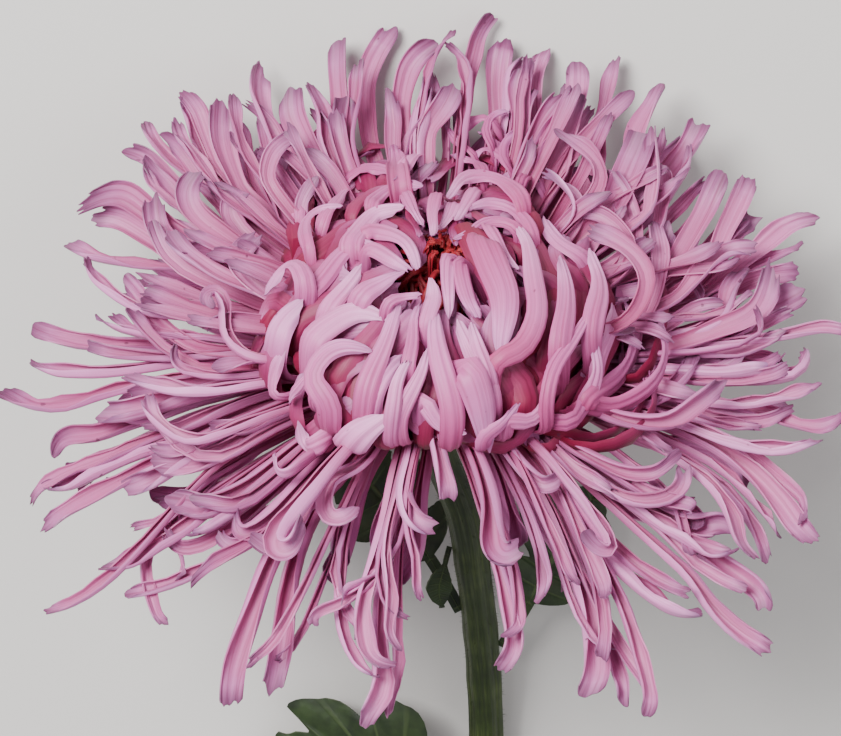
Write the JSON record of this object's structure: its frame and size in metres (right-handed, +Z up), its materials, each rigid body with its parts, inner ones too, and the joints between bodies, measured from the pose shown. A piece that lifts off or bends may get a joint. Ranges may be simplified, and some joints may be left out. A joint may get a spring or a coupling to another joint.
{
  "type": "spider chrysanthemum",
  "caption": "Cut spider chrysanthemum lying on its side: a wide head of long curled ray florets, a small crimson heart, a ribbed leafy stem.",
  "frame": {"origin": "centre of the footprint's box, on the surface that the cut flower lies on", "axes": "+Y along the stem from the head towards the cut end, +Z up, +X to the picture's left"},
  "size_m": [0.1491, 0.2108, 0.0889],
  "materials": {
    "ray_petal": "soft satin petal, lilac pink with fine veins, magenta inside the tubes",
    "young_floret": "soft satin, crimson to orange red",
    "bract": "dull green with pale papery edges",
    "stem": "dull green, ribbed and finely hairy",
    "leaf": "dull dark green with paler veins"
  },
  "bodies": {
    "root": {"bloom": "ray_petal", "heart": "young_floret", "involucre": "bract", "stem": "stem", "leaf_left": "leaf", "leaf_right": "leaf", "leaf_small": "leaf", "leaf_low": "leaf"}
  },
  "joints": []
}
